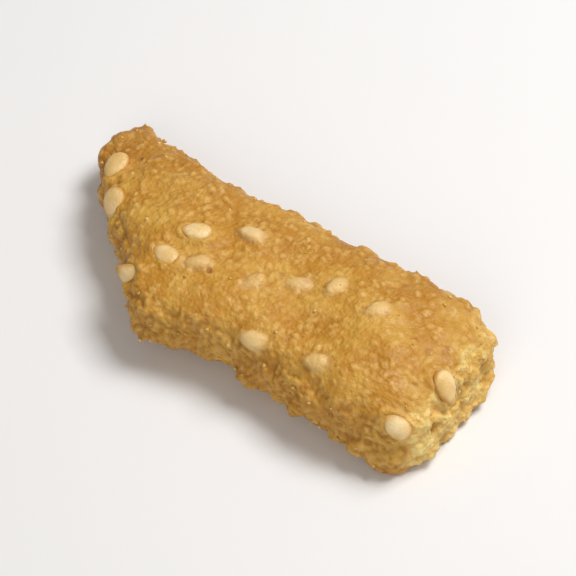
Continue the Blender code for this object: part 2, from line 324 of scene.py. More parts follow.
class StickSettings(bpy.types.PropertyGroup):
    """All that the panel shows."""

    sizes: PointerProperty(type=StickSizes)
    colours: PointerProperty(type=StickColours)


def smooth_step(low, high, value):
    """Rises from 0 at low to 1 at high along a smooth S."""
    share = np.clip((value - low) / (high - low), 0, 1)
    return share * share * (3 - 2 * share)


def ramp(value, slope, start):
    """Rises from 0 to 1 in a straight line: the slope times the value, less the start."""
    return np.clip(slope * value - start, 0, 1)


def corner_slopes(cell, draw):
    """A pseudo-random direction for each corner of the noise grid, from a hash of its place."""
    parts = [cell[..., axis] * prime for axis, prime in enumerate(CORNER_PRIMES)]
    mixed = (parts[0] ^ parts[1] ^ parts[2]) & HASH_BITS
    mixed = (mixed ^ draw * DRAW_PRIME ^ mixed >> 13) * FIRST_PRIME & HASH_BITS
    mixed = (mixed ^ mixed >> 16) * SECOND_PRIME & HASH_BITS
    thirds = [mixed >> shift & SLOPE_BITS for shift in SLOPE_SHIFTS]
    return np.stack(thirds, axis=-1) / (SLOPE_BITS / 2) - 1.0


def noise(points, draw):
    """Gradient noise: each corner of a unit grid slopes its own way, and the slopes blend. The
    draw is a whole number that picks one of many such noises, so every use has its own."""
    cell = np.floor(points).astype(np.int64)
    within = points - cell
    ease = within**3 * (within * (within * 6 - 15) + 10)
    total = np.zeros(points.shape[:-1])
    for corner in np.ndindex(2, 2, 2):
        slopes = corner_slopes(cell + corner, draw)
        weight = np.prod(np.where(corner, ease, 1 - ease), axis=-1)
        total += weight * np.sum(slopes * (within - corner), axis=-1)
    return total


def cells(points, draw):
    """Cellular noise: every cell of a unit grid holds one thrown centre. It gives the distance to
    the nearest centre, how much further off the second is, and a random share of the nearest."""
    home = np.floor(points).astype(np.int64)
    first = np.full(points.shape[:-1], FAR_AWAY)
    second = first.copy()
    share = np.zeros(points.shape[:-1])
    for step in np.ndindex(3, 3, 3):
        cell = home + np.array(step) - 1
        thrown = corner_slopes(cell, draw)
        away = np.linalg.norm(points - cell - 0.5 - CELL_SPREAD * thrown, axis=-1)
        closer = away < first
        second = np.where(closer, first, np.minimum(second, away))
        share = np.where(closer, np.abs(thrown.sum(axis=-1)) % 1, share)
        first = np.where(closer, away, first)
    return first, second - first, share


def squared_circle(turn, squareness):
    """A circle's point pushed out towards the square round it: its shares across and up."""
    across, up = np.cos(turn), np.sin(turn)
    reach = (np.abs(across) ** squareness + np.abs(up) ** squareness) ** (-1 / squareness)
    return reach * across, reach * up


def even_turn(share, turns, x, y):
    """The turn at a share of the length of the curve that has points x, y at those turns."""
    travelled = np.concatenate([[0], np.cumsum(np.hypot(np.diff(x), np.diff(y)))])
    return np.interp(share, travelled / travelled[-1], turns)


def end_squareness(turn):
    """The squareness of the end that this side-view turn is on."""
    return np.where(np.cos(turn) < 0, TAPERED_SQUARENESS, BROKEN_SQUARENESS)


def side_turn(along, sizes):
    """The side-view turn at a share of the way along the stick, from the tapered end at 0."""
    turns = np.linspace(math.pi, 0, TABLE_STEPS)
    place, fill = squared_circle(turns, end_squareness(turns))
    return even_turn(along, turns, place * sizes.length / 2, fill * (sizes.width + sizes.thickness) / 4)


def section_turn(around, sizes):
    """The section's turn at a share of the way round it, from the far side and over the top."""
    turns = np.linspace(0, math.tau, TABLE_STEPS)
    across, upward = squared_circle(turns, SECTION_SQUARENESS)
    return even_turn(around, turns, across * sizes.width / 2, upward * sizes.thickness / 2)


def turn_at(place, squareness):
    """The upper turn of a squared circle whose share across is this place, from -1 to 1."""
    return math.atan2((1 - abs(place) ** squareness) ** (1 / squareness), place)


def side_turn_at(place):
    """The side-view turn at a place along the stick, from -1 to 1."""
    return turn_at(place, BROKEN_SQUARENESS if place > 0 else TAPERED_SQUARENESS)


def station(place):
    """The sideways shift, half width and thickness at a place along, in their shares."""
    places, *columns = np.array(STATIONS).T
    steps = np.linspace(-STATION_BLEND, STATION_BLEND, BLEND_STEPS)
    weights = 1 + np.cos(steps / STATION_BLEND * math.pi * BLEND_FALL)
    weights /= weights.sum()
    return [
        sum(w * np.interp(place + s, places, column) for w, s in zip(weights, steps))
        for column in columns
    ]


def bare_surface(along_turn, around_turn, sizes):
    """The bar before its relief: its points, and the directions that face out of it.

    A cross-section is a squared ellipse. Its middle and its width follow the stations, and its
    size falls to nothing at both ends by a squared ellipse in the side view. Where the stations
    make it thinner, its middle sinks, so that its foot stays level."""
    end_power = end_squareness(along_turn) - 1
    place, fill = squared_circle(along_turn, end_power + 1)
    across, upward = squared_circle(around_turn, SECTION_SQUARENESS)
    shift, half_width, thickness = station(place)
    y_reach = half_width * sizes.width / 2
    z_reach = thickness * sizes.thickness / 2
    y_out = across * fill * y_reach
    z_out = upward * fill * z_reach
    lean = np.tan(TWIST * place)
    x = place * sizes.length / 2 - BREAK_SLANT * ramp(place, *SLANT_RAMP) * z_out
    y = shift * sizes.width / 2 + y_out - lean * z_out
    middle = ARCH * (1 - place**2) + z_reach - sizes.thickness / 2
    z = middle + z_out + lean * y_out
    side_power = SECTION_SQUARENESS - 1
    facing = np.stack(
        [
            np.sign(place) * np.abs(place) ** end_power / (sizes.length / 2),
            np.sign(across) * np.abs(across) ** side_power * fill**end_power / y_reach,
            np.sign(upward) * np.abs(upward) ** side_power * fill**end_power / z_reach,
        ],
        axis=-1,
    )
    facing /= np.linalg.norm(facing, axis=-1, keepdims=True)
    return np.stack([x, y, z], axis=-1), facing


def crag_reach(points, sizes):
    """How far the torn bits push the crust out: each is a steep round hump."""
    total = np.zeros(points.shape[:-1])
    for place, degrees, reach, radius in CRAGS:
        centre, _ = bare_surface(side_turn_at(place), math.radians(degrees), sizes)
        away = np.linalg.norm(points - centre, axis=-1) / radius
        total += reach * np.exp(-(away**3))
    return total


def coarse_relief(points, facing, sizes):
    """How far the solid's crust stands out from the bare bar: noise at four sizes, and crags."""
    swell = SWELL_HEIGHT * noise(points / SWELL_SIZE, 1)
    lumps = LUMP_HEIGHT * noise(points / LUMP_SIZE, 2)
    on_side = ramp(np.abs(facing[..., 1]), *RAGGED_RAMP)
    ragged = RAGGED_HEIGHT * on_side * (noise(points / RAGGED_SIZE, 3) + RAGGED_LEAN)
    on_break = ramp(facing[..., 0], *CRUMB_RAMP)
    crumb = CRUMB_HEIGHT * on_break * noise(points / CRUMB_SIZE, 4)
    return swell + lumps + ragged + crumb + crag_reach(points, sizes)


def coarse_surface(along_turn, around_turn, sizes):
    """The solid's surface: the bare points moved out by the coarse relief, and their facings."""
    points, facing = bare_surface(along_turn, around_turn, sizes)
    return points + facing * coarse_relief(points, facing, sizes)[..., None], facing


def seed_turns(sizes):
    """(side turn, section turn, spin, proud share) of each seed, as the CAD has them: the
    face's, then drawn ones that face away from the shown side, clear of every other seed."""
    chosen = []
    for place, across, degrees, proud in FACE_SEEDS:
        around_turn = turn_at(across, SECTION_SQUARENESS)
        chosen.append((side_turn_at(place), around_turn, math.radians(degrees), proud))
    centres = [bare_surface(seed[0], seed[1], sizes)[0] for seed in chosen]
    draw = np.random.default_rng(SEED_DRAW)
    while len(chosen) < len(FACE_SEEDS) + SCATTERED_SEEDS:
        along, around, spin, proud = draw.uniform(SCATTER_FROM, SCATTER_TO)
        seed = (side_turn(along, sizes), section_turn(around, sizes), spin, proud)
        centre, facing = bare_surface(seed[0], seed[1], sizes)
        nearest = min(np.linalg.norm(centre - other) for other in centres)
        if facing @ SHOWN_SIDE < SHOWN_SHARE and nearest > SEED_SPACING:
            chosen.append(seed)
            centres.append(centre)
    return np.array(chosen)


def seed_frames(sizes):
    """Each seed's centre, its three axes (along, across, up) and its proud share.

    A seed lies flat on the crust and is turned about the crust's own facing. Those that would
    reach the floor are left out."""
    along_turn, around_turn, spin, proud = seed_turns(sizes).T
    points, up = coarse_surface(along_turn, around_turn, sizes)
    steep = np.abs(up[:, 2:]) < UPRIGHT
    side = np.cross(up, np.where(steep, (0, 0, 1), (0, 1, 0)))
    side /= np.linalg.norm(side, axis=-1, keepdims=True)
    turned = side * np.cos(spin)[:, None] + np.cross(up, side) * np.sin(spin)[:, None]
    axes = np.stack([turned, np.cross(up, turned), up], axis=1)
    centres = points + up * ((proud - 0.5) * sizes.seed_thickness)[:, None]
    tilted = sizes.seed_length * np.sqrt(np.clip(1 - up[:, 2] ** 2, 0, 1))
    lowest = centres[:, 2] - FOOT - np.hypot(tilted, sizes.seed_thickness) / 2
    kept = lowest > FLOOR_CLEARANCE
    return centres[kept], axes[kept], proud[kept]


def grid_normals(points, facing):
    """The directions out of a grid of points: the step round crossed with the step along. The
    two end rings are single points, so they take the bare bar's facing."""
    along = np.gradient(points, axis=0)
    around = np.roll(points, -1, axis=1) - np.roll(points, 1, axis=1)
    normals = np.cross(around, along)
    normals[[0, -1]] = facing[[0, -1]]
    return normals / np.linalg.norm(normals, axis=-1, keepdims=True)


def seed_cover(points, normals, sizes):
    """What the seeds do to the crust: the height that they add, and how far they show through.

    In a seed's own axes the crust is inside the seed's outline where its teardrop radius is under
    1. Dough rises in an uneven lip at the edge of a bare seed, and in a low mound over a covered
    one, which falls off as 1 minus the radius squared."""
    height = np.zeros(points.shape[:-1])
    film = np.zeros(points.shape[:-1])
    uneven = 1 + LIP_UNEVENNESS * noise(points / LIP_SIZE, 23)
    for centre, axes, proud in zip(*seed_frames(sizes)):
        local = (points - centre) @ axes.T
        along = local[..., 0] / sizes.seed_length
        taper = 1 - SEED_TAPER * np.clip(along, -0.5, 0.5)
        across = local[..., 1] / sizes.seed_width / taper
        beyond = np.abs(local[..., 2]) > SEED_REACH
        radius = 2 * np.hypot(along, across) + np.where(beyond, FAR_AWAY, 0)
        if proud < FILM_UNDER:
            top = sizes.seed_thickness / 2 * np.clip(1 - radius**2, 0, 1)
            lift = np.clip(top + FILM_THICKNESS - local[..., 2], 0, None) * (radius < 1)
            height = np.maximum(height, lift * smooth_step(*FILM_EDGE, radius))
            shown = smooth_step(*FILM_FADE, radius) * smooth_step(*FILM_SHOWS, proud)
            film = np.maximum(film, shown)
        else:
            lip = np.exp(-(((radius - LIP_PLACE) / LIP_REACH) ** 2))
            height += LIP_HEIGHT * lip * uneven
    return height, film


def fine_relief(points, facing, sizes):
    """The relief that the solid leaves out: its height, and the marks that the colours follow.

    Pebbles are the size of gradient noise whatever its sign, at two scales, which makes domes
    with narrow valleys. Its points are first pushed about, and it is higher in some patches than
    in others. Grains are the domes of small cells, each of its own height, and pores are the
    middles of a few large cells. The sides are shredded by a finer noise, and flaked by the size
    of another. The broken end is a heap of morsels, small domes of cells on larger ones, with
    pits where a noise is lowest."""
    push = np.stack([noise(points / WARP_SIZE, number) for number in (11, 12, 13)], axis=-1)
    pushed = points + WARP_HEIGHT * push
    patch = smooth_step(*PATCH_RANGE, noise(points / PATCH_SIZE, 14))
    large = np.hypot(noise(pushed / sizes.pebble_size, 15), VALLEY_WIDTH)
    small = np.hypot(noise(pushed / sizes.pebble_size / SMALL_PEBBLES, 22), VALLEY_WIDTH)
    domes = large + SMALL_PEBBLES * small - PEBBLE_MEAN
    pebbles = sizes.pebble_height * (CALM_HEIGHT + (1 - CALM_HEIGHT) * patch) * domes
    grain_near, _, grain_share = cells(pushed / sizes.grain_size, 16)
    grain_height = sizes.grain_height * (GRAIN_LEAST + (1 - GRAIN_LEAST) * grain_share)
    grains = grain_height * smooth_step(*GRAIN_RANGE, grain_near)
    pore_near, _, pore_share = cells(pushed / sizes.pore_spacing, 17)
    pores = smooth_step(*PORE_RANGE, pore_near) * smooth_step(*PORE_CHOICE, pore_share)
    on_side = smooth_step(*SIDE_RANGE, np.abs(facing[..., 1]))
    torn = facing[..., 0] + FAR_TEAR * facing[..., 1] + TEAR * noise(points / BREAK_EDGE_SIZE, 18)
    on_break = smooth_step(*BREAK_RANGE, torn)
    loaf_near, loaf_gap, _ = cells(pushed / LOAF_SIZE, 19)
    morsel_near, _, morsel_share = cells(pushed / MORSEL_SIZE, 20)
    morsels = MORSEL_HEIGHT * morsel_share * (MORSEL_MEAN - morsel_near)
    pits = smooth_step(*PIT_RANGE, noise(points / PIT_SIZE, 25))
    crumb = LOAF_HEIGHT * (LOAF_MEAN - loaf_near) + morsels - PIT_DEPTH * pits
    flakes = FLAKE_HEIGHT * (2 * np.abs(noise(pushed / FLAKE_SIZE, 24)) - FLAKE_MEAN)
    shreds = SHRED_HEIGHT * noise(pushed / SHRED_SIZE, 21) + flakes
    height = pebbles + grains - sizes.pore_depth * pores + on_side * shreds + on_break * crumb
    marks = {
        # Painted shade in the pores, less on the break.
        "pore": pores * (1 - BREAK_PORES * on_break),
        "broken": on_break,
        # Painted shade in the gaps between morsels and in the pits.
        "hollow_shade": np.clip(smooth_step(*GAP_RANGE, loaf_gap) + PIT_SHADE * pits, 0, 1),
        # Painted highlight on the tops of grains.
        "grain": grain_share * smooth_step(*GRAIN_TOP, grain_near) * (1 - on_break),
    }
    return height, marks


def blurred(grid):
    """A grid averaged over its neighbours. It wraps round the section and stops at the ends."""
    wrapped = np.pad(grid, ((0, 0), (BLUR, BLUR)), mode="wrap")
    padded = np.pad(wrapped, ((BLUR, BLUR), (0, 0)), mode="edge")
    window = np.lib.stride_tricks.sliding_window_view(padded, (2 * BLUR + 1, 2 * BLUR + 1))
    return window.mean(axis=(-2, -1))


def toast_and_shade_mark(points, facing):
    """How browned and shaded the crust is: browning all over and in uneven patches, browning with
    painted shade on the sides and the far side, painted shade at the tapered end, and darker where it
    faces down."""
    place, across = (points[..., axis] / np.abs(points[..., axis]).max() for axis in (0, 1))
    side = SIDES_TOAST_AND_SHADE * smooth_step(*SIDES_RANGE, np.abs(facing[..., 1]))
    # Browning with painted shade on the sides and the far side, darker across the face towards the far
    # side.
    far = FAR_TOAST_AND_SHADE * smooth_step(*FAR_RANGE, facing[..., 1])
    far += ACROSS_TOAST_AND_SHADE * smooth_step(*ACROSS_RANGE, across)
    # Darker where the crust faces down.
    under = UNDER_DARKENING * smooth_step(*UNDER_RANGE, facing[..., 2])
    # Painted shade at the tapered end.
    tip = TIP_SHADE * smooth_step(*TIP_SHADE_RANGE, -place)
    uneven = TOAST_PATCHES * noise(points / TOAST_SIZE, 31)
    uneven += SMALL_TOAST_PATCHES * noise(points / SMALL_TOAST_SIZE, 32)
    return np.clip(TOAST_ALL + side + far + under + tip + uneven, 0, 1)


def crust_grid(sizes):
    """The finished crust on its grid: the points, the directions out of it and its marks.

    The relief's valleys, painted with shade, are where it lies under its own blurred copy, and its high
    spots, painted with a highlight, are where it lies over it. Underneath, the crust is pressed flat
    but for a faint relief."""
    along, around = np.meshgrid(
        side_turn(np.linspace(0, 1, CRUST_ALONG), sizes),
        section_turn(np.arange(CRUST_AROUND) / CRUST_AROUND, sizes),
        indexing="ij",
    )
    points, facing = coarse_surface(along, around, sizes)
    normals = grid_normals(points, facing)
    height, marks = fine_relief(points, facing, sizes)
    cover, film = seed_cover(points, normals, sizes)
    marks["film"] = film
    marks["pore"] *= 1 - film
    marks["toast_and_shade"] = toast_and_shade_mark(points, facing)
    relief = height * (1 - film) + cover
    sunk = blurred(relief) - relief
    # Painted shade in the valleys and hollows, and a painted highlight on the high spots.
    marks["valley_shade"] = smooth_step(0.0, VALLEY_DEPTH, sunk) * (1 - marks["broken"])
    marks["raised"] = smooth_step(0.0, VALLEY_DEPTH, -sunk)
    marks["hollow_shade"] = np.clip(marks["hollow_shade"] + smooth_step(0.0, 2 * VALLEY_DEPTH, sunk), 0, 1)
    points = points + normals * relief[..., None]
    pressed = PRESSED_HEIGHT * np.abs(noise(points / PRESSED_SIZE, 26))
    points[..., 2] = np.maximum(points[..., 2], FOOT + pressed)
    return points, normals, marks


def to_frame(points):
    """Moves points from the bar's coordinates to the CAD's, whose floor is at 0."""
    return points - np.array([*MIDDLE, FOOT])


def closed_faces(rings, around):
    """The corner numbers of one closed surface: four-sided faces between its rings, and a fan of
    triangles at each end. Corner 0 and the last corner are the two poles."""
    ring, step = np.meshgrid(np.arange(rings - 3), np.arange(around), indexing="ij")
    following = (step + 1) % around
    quads = [
        1 + ring * around + step,
        1 + ring * around + following,
        1 + (ring + 1) * around + following,
        1 + (ring + 1) * around + step,
    ]
    spot = np.arange(around)
    turn = (spot + 1) % around
    last_ring = 1 + (rings - 3) * around
    first_fan = [np.zeros_like(spot), turn + 1, spot + 1]
    last_fan = [last_ring + spot, last_ring + turn, np.full_like(spot, last_ring + around)]
    fans = np.concatenate([np.stack(first_fan, axis=-1), np.stack(last_fan, axis=-1)])
    return np.stack(quads, axis=-1).reshape(-1, 4), fans


def corners_of(grids):
    """One row for each corner of the mesh: both poles once, and every ring between them."""
    copies, channels = grids.shape[0], grids.shape[-1]
    middle = grids[:, 1:-1].reshape(copies, -1, channels)
    joined = np.concatenate([grids[:, 0, :1], middle, grids[:, -1, :1]], axis=1)
    return joined.reshape(-1, channels)


def closed_mesh(name, grids, marks=None):
    """A mesh object of one closed surface for each grid of points, with its marks as attributes."""
    copies, rings, around = grids.shape[:3]
    corners = corners_of(grids)
    quads, fans = closed_faces(rings, around)
    starts = np.arange(copies)[:, None, None] * (len(corners) // copies)
    quads = (quads + starts).reshape(-1, 4)
    fans = (fans + starts).reshape(-1, 3)
    mesh = bpy.data.meshes.new(name)
    mesh.vertices.add(len(corners))
    mesh.vertices.foreach_set("co", corners.astype(np.float32).ravel())
    mesh.loops.add(quads.size + fans.size)
    mesh.loops.foreach_set("vertex_index", np.concatenate([quads.ravel(), fans.ravel()]))
    sides = np.repeat([4, 3], [len(quads), len(fans)])
    mesh.polygons.add(len(sides))
    mesh.polygons.foreach_set("loop_start", np.concatenate([[0], np.cumsum(sides)[:-1]]))
    mesh.update(calc_edges=True)
    mesh.shade_smooth()
    for label, values in (marks or {}).items():
        attribute = mesh.attributes.new(label, "FLOAT", "POINT")
        attribute.data.foreach_set("value", corners_of(values[..., None]).astype(np.float32).ravel())
    piece = bpy.data.objects.new(name, mesh)
    bpy.context.scene.collection.objects.link(piece)
    return piece


def full_turn(count):
    """Even steps of a full turn."""
    return np.arange(count) / count * math.tau


def round_grid(around_count, along_count):
    """The turns of a round surface: from its pole at -X to the one at +X, and round that axis."""
    turns = np.linspace(math.pi, 0, along_count + 1)
    return np.meshgrid(turns, full_turn(around_count), indexing="ij")


def teardrop_grid():
    """A seed of length, width and thickness 1: an ellipsoid drawn to a blunt point at +X, with a
    faint ridge round its edge. Its width and thickness shrink evenly towards the point."""
    turn, spin = round_grid(SEED_AROUND, SEED_ALONG)
    along = np.cos(turn) / 2
    taper = (1 - SEED_TAPER * along) * (1 - SEED_POINT * smooth_step(*POINT_RANGE, along))
    across, up = squared_circle(spin, SEED_SQUARENESS)
    flat = up * (1 - SEED_RIDGE * np.cos(spin) ** 2)
    reach = np.sin(turn) / 2
    return np.stack([along, across * reach * taper, flat * reach * taper], axis=-1)


def seed_grids(sizes):
    """Every bare seed on its own grid, each a little different in size and bent its own way."""
    centres, axes, proud = seed_frames(sizes)
    bare = proud >= FILM_UNDER
    draw = np.random.default_rng(SEED_SHAPE_DRAW)
    count = len(centres)
    stretch = draw.uniform(SEED_LEAST, SEED_MOST, (count, 3))
    bend = draw.uniform(-SEED_BEND, SEED_BEND, count)
    tone = draw.uniform(0, 1, count)
    unit = teardrop_grid()
    full = np.array([sizes.seed_length, sizes.seed_width, sizes.seed_thickness])
    local = unit[None] * (full * stretch)[:, None, None]
    local[..., 1] += bend[:, None, None] * (4 * unit[None, ..., 0] ** 2 - 0.5)
    moved = local / SEED_RELIEF_SIZE + centres[:, None, None] * SEED_APART
    local[..., 2] += SEED_RELIEF_HEIGHT * noise(moved, 42)
    grids = np.einsum("krnc,kcd->krnd", local, axes) + centres[:, None, None]
    tip = np.broadcast_to(smooth_step(*POINT_RANGE, unit[..., 0]), grids.shape[:3])
    tones = np.broadcast_to(tone[:, None, None], grids.shape[:3])
    above = local[..., 2] + ((proud - 0.5) * sizes.seed_thickness)[:, None, None]
    above += RIM_HEIGHT * noise(grids / RIM_SIZE, 43)
    marks = {"tip": tip, "tone": tones, "rim": smooth_step(RIM_HIGH, RIM_LOW, above)}
    return grids[bare], {name: values[bare] for name, values in marks.items()}


def crumb_grids(points, normals, marks, sizes):
    """Loose crumbs: small uneven flakes sunk in the crust at drawn places of its grid, thick on
    the sides and round the broken end, thin on the face."""
    draw = np.random.default_rng(CRUMB_DRAW)
    rings, around = points.shape[:2]
    total = CRUMB_TRIES * sizes.crumbs
    ring = draw.integers(CRUMB_MARGIN, rings - CRUMB_MARGIN, total)
    step = draw.integers(0, around, total)
    facing = normals[ring, step]
    side = np.abs(facing[:, 1])
    on_edge = marks["broken"][ring, step] * (facing[:, 0] < BREAK_FACING)
    chance = FACE_CHANCE + SIDE_CHANCE * side**2 + BREAK_CHANCE * on_edge
    chance = np.where(points[ring, step, 2] < FOOT + CRUMB_CLEARANCE, 0, chance)
    kept = np.flatnonzero(draw.uniform(0, 1, total) < chance)[: sizes.crumbs]
    ring, step = ring[kept], step[kept]
    turn, spin = round_grid(CRUMB_AROUND, CRUMB_ALONG)
    reach = np.sin(turn)
    ball = np.stack([np.cos(turn), reach * np.cos(spin), reach * np.sin(spin)], axis=-1)[None] / 2
    spread = draw.uniform(CRUMB_LEAST, CRUMB_MOST, (len(kept), 1, 1, 1))
    size = sizes.crumb_size * spread**CRUMB_SKEW
    squash = draw.uniform(SQUASH_LEAST, SQUASH_MOST, (len(kept), 1, 1, 3))
    offset = draw.uniform(-CRUMB_APART, CRUMB_APART, (len(kept), 1, 1, 3))
    rugged = 1 + CRUMB_ROUGHNESS * noise(ball * CRUMB_RUGGED_SCALE + offset, 52)[..., None]
    centres = points[ring, step] + CRUMB_LIFT * size[:, 0, 0] * facing[kept]
    return ball * rugged * squash * size + centres[:, None, None]


def new_group(name, defaults, output, kind):
    """An empty node group with these inputs, colours or values, and one output of a kind. It
    gives the group, what comes into it and what goes out of it."""
    group = bpy.data.node_groups.new(name, "ShaderNodeTree")
    for label, default in defaults.items():
        into_kind = COLOUR_SOCKET if isinstance(default, tuple) else VALUE_SOCKET
        socket = group.interface.new_socket(label, in_out="INPUT", socket_type=into_kind)
        socket.default_value = default
    group.interface.new_socket(output, in_out="OUTPUT", socket_type=kind)
    return group, group.nodes.new("NodeGroupInput").outputs, group.nodes.new("NodeGroupOutput").inputs


def add_node(tree, kind, settings=None, **inputs):
    """A node with its settings, and its inputs set to values or linked from sockets."""
    node = tree.nodes.new(kind)
    for name, value in (settings or {}).items():
        setattr(node, name, value)
    for name, value in inputs.items():
        feed(tree, node.inputs[name.replace("_", " ")], value)
    return node


def feed(tree, socket, value):
    """Links a socket to a socket, or sets it to a value."""
    if isinstance(value, bpy.types.NodeSocket):
        tree.links.new(value, socket)
    elif hasattr(value, "__len__") and len(value) == 3 and len(socket.default_value) == 4:
        socket.default_value = (*value, 1)
    else:
        socket.default_value = value


def mix_colours(tree, share, first, second):
    """The colour that goes from the first to the second as the share goes from 0 to 1."""
    node = tree.nodes.new("ShaderNodeMix")
    node.data_type = "RGBA"
    feed(tree, node.inputs[0], share)
    feed(tree, node.inputs[6], first)
    feed(tree, node.inputs[7], second)
    return node.outputs[2]


def calculate(tree, operation, first, second):
    """The result of one operation on two values."""
    node = tree.nodes.new("ShaderNodeMath")
    node.operation = operation
    feed(tree, node.inputs[0], first)
    feed(tree, node.inputs[1], second)
    return node.outputs[0]


def mark(tree, name):
    """The value of one of the piece's own marks."""
    return add_node(tree, "ShaderNodeAttribute", {"attribute_name": name}).outputs["Fac"]


def tint(tree, colour, name, share, target):
    """The colour, mixed with a target colour by a share of one of the piece's marks."""
    return mix_colours(tree, calculate(tree, "MULTIPLY", mark(tree, name), share), colour, target)


def own_place(tree):
    """The piece's own coordinates."""
    return add_node(tree, "ShaderNodeTexCoord").outputs["Object"]


def own_noise(tree, place, scale, detail):
    """A cloud of noise at a place, some clouds to the metre."""
    return add_node(tree, "ShaderNodeTexNoise", Vector=place, Scale=scale, Detail=detail)


def carry(tree, kind, value, low, high, to_low=0.0, to_high=1.0):
    """A value carried from one range to another, straight or along a smooth S."""
    ranges = {"From_Min": low, "From_Max": high, "To_Min": to_low, "To_Max": to_high}
    node = add_node(tree, "ShaderNodeMapRange", {"interpolation_type": kind}, Value=value, **ranges)
    return node.outputs[0]


def make_mottle():
    """Node group: soft uneven patches between two colours, some patches to the metre."""
    defaults = {"Colour": GREY, "Patch Colour": WHITE, "Patches": 250.0, "Softness": 0.2}
    group, into, out = new_group("Mottle", defaults, "Colour", COLOUR_SOCKET)
    cloud = own_noise(group, own_place(group), into["Patches"], 3.0)
    low = calculate(group, "SUBTRACT", NOISE_MIDDLE, into["Softness"])
    high = calculate(group, "ADD", NOISE_MIDDLE, into["Softness"])
    share = carry(group, "SMOOTHSTEP", cloud.outputs["Fac"], low, high)
    feed(group, out["Colour"], mix_colours(group, share, into["Colour"], into["Patch Colour"]))
    return group


def make_specks():
    """Node group: uneven specks of another colour, in a share of the cells of a grid. Its places
    are first mixed with a little noise, so that the specks aren't round."""
    colours = {"Colour": GREY, "Speck Colour": WHITE}
    values = {"Specks": 1500.0, "Share": 0.3, "Size": 0.5, "Strength": 0.5}
    group, into, out = new_group("Specks", colours | values, "Colour", COLOUR_SOCKET)
    place = own_place(group)
    cloud = own_noise(group, place, into["Specks"], 1.0)
    moved = mix_colours(group, SPECK_PUSH, place, cloud.outputs["Color"])
    grid = add_node(group, "ShaderNodeTexVoronoi", Vector=moved, Scale=into["Specks"])
    drawn = add_node(group, "ShaderNodeSeparateColor", Color=grid.outputs["Color"]).outputs["Red"]
    chosen = calculate(group, "LESS_THAN", drawn, into["Share"])
    spot = carry(group, "SMOOTHSTEP", grid.outputs["Distance"], into["Size"], SPECK_MIDDLE)
    share = calculate(group, "MULTIPLY", spot, chosen)
    share = calculate(group, "MULTIPLY", share, into["Strength"])
    feed(group, out["Colour"], mix_colours(group, share, into["Colour"], into["Speck Colour"]))
    return group


def make_grain():
    """Node group: the height of a fine grain of small domes, for a Bump node."""
    defaults = {"Grains": 4000.0, "Domes": 0.5}
    group, into, out = new_group("Grain", defaults, "Height", VALUE_SOCKET)
    place = own_place(group)
    cloud = own_noise(group, place, into["Grains"], 4.0)
    domes = add_node(group, "ShaderNodeTexVoronoi", Vector=place, Scale=into["Grains"])
    fall = calculate(group, "MULTIPLY", domes.outputs["Distance"], into["Domes"])
    feed(group, out["Height"], calculate(group, "SUBTRACT", cloud.outputs["Fac"], fall))
    return group


def make_gloss():
    """Node group: roughness that wanders between two values, as oil lies on fried food."""
    defaults = {"Oily": 0.4, "Dry": 0.7, "Patches": 900.0}
    group, into, out = new_group("Gloss", defaults, "Roughness", VALUE_SOCKET)
    cloud = own_noise(group, own_place(group), into["Patches"], 2.0)
    gloss = carry(group, "LINEAR", cloud.outputs["Fac"], *GLOSS_RANGE, into["Oily"], into["Dry"])
    feed(group, out["Roughness"], gloss)
    return group


GROUP_MAKERS = {"Mottle": make_mottle, "Specks": make_specks, "Grain": make_grain, "Gloss": make_gloss}


def use_group(tree, name, **inputs):
    """The only output of a node group, which is made the first time that it is asked for."""
    group = bpy.data.node_groups.get(name) or GROUP_MAKERS[name]()
    node = tree.nodes.new("ShaderNodeGroup")
    node.node_tree = group
    for label, value in inputs.items():
        feed(tree, node.inputs[label.replace("_", " ")], value)
    return node.outputs[0]


def mottled(tree, first, second, patches, softness):
    """Soft uneven patches of the second colour on the first."""
    values = {"Patches": patches, "Softness": softness}
    return use_group(tree, "Mottle", Colour=first, Patch_Colour=second, **values)


def specked(tree, colour, speck_colour, specks, share, size, strength):
    """A colour with uneven specks of another."""
    values = {"Specks": specks, "Share": share, "Size": size, "Strength": strength}
    return use_group(tree, "Specks", Colour=colour, Speck_Colour=speck_colour, **values)


def new_material(name):
    """A material with its node tree and its Principled BSDF."""
    material = bpy.data.materials.new(name)
    material.use_nodes = True
    return material, material.node_tree, material.node_tree.nodes["Principled BSDF"]


def paint(tree, shader, colour, **gloss):
    """Feeds the shader its colour, and the roughness of these gloss values."""
    feed(tree, shader.inputs["Base Color"], colour)
    feed(tree, shader.inputs["Roughness"], use_group(tree, "Gloss", **gloss))


def add_bump(tree, shader, height, distance, strength):
    """Feeds a height to the shader's normal."""
    bump = add_node(tree, "ShaderNodeBump", Height=height, Distance=distance, Strength=strength)
    feed(tree, shader.inputs["Normal"], bump.outputs["Normal"])


def soften(shader, weight, depth):
    """Lets a little light through the surface, redder the deeper it goes."""
    shader.inputs["Subsurface Weight"].default_value = weight
    shader.inputs["Subsurface Radius"].default_value = LIGHT_DEPTHS
    shader.inputs["Subsurface Scale"].default_value = depth


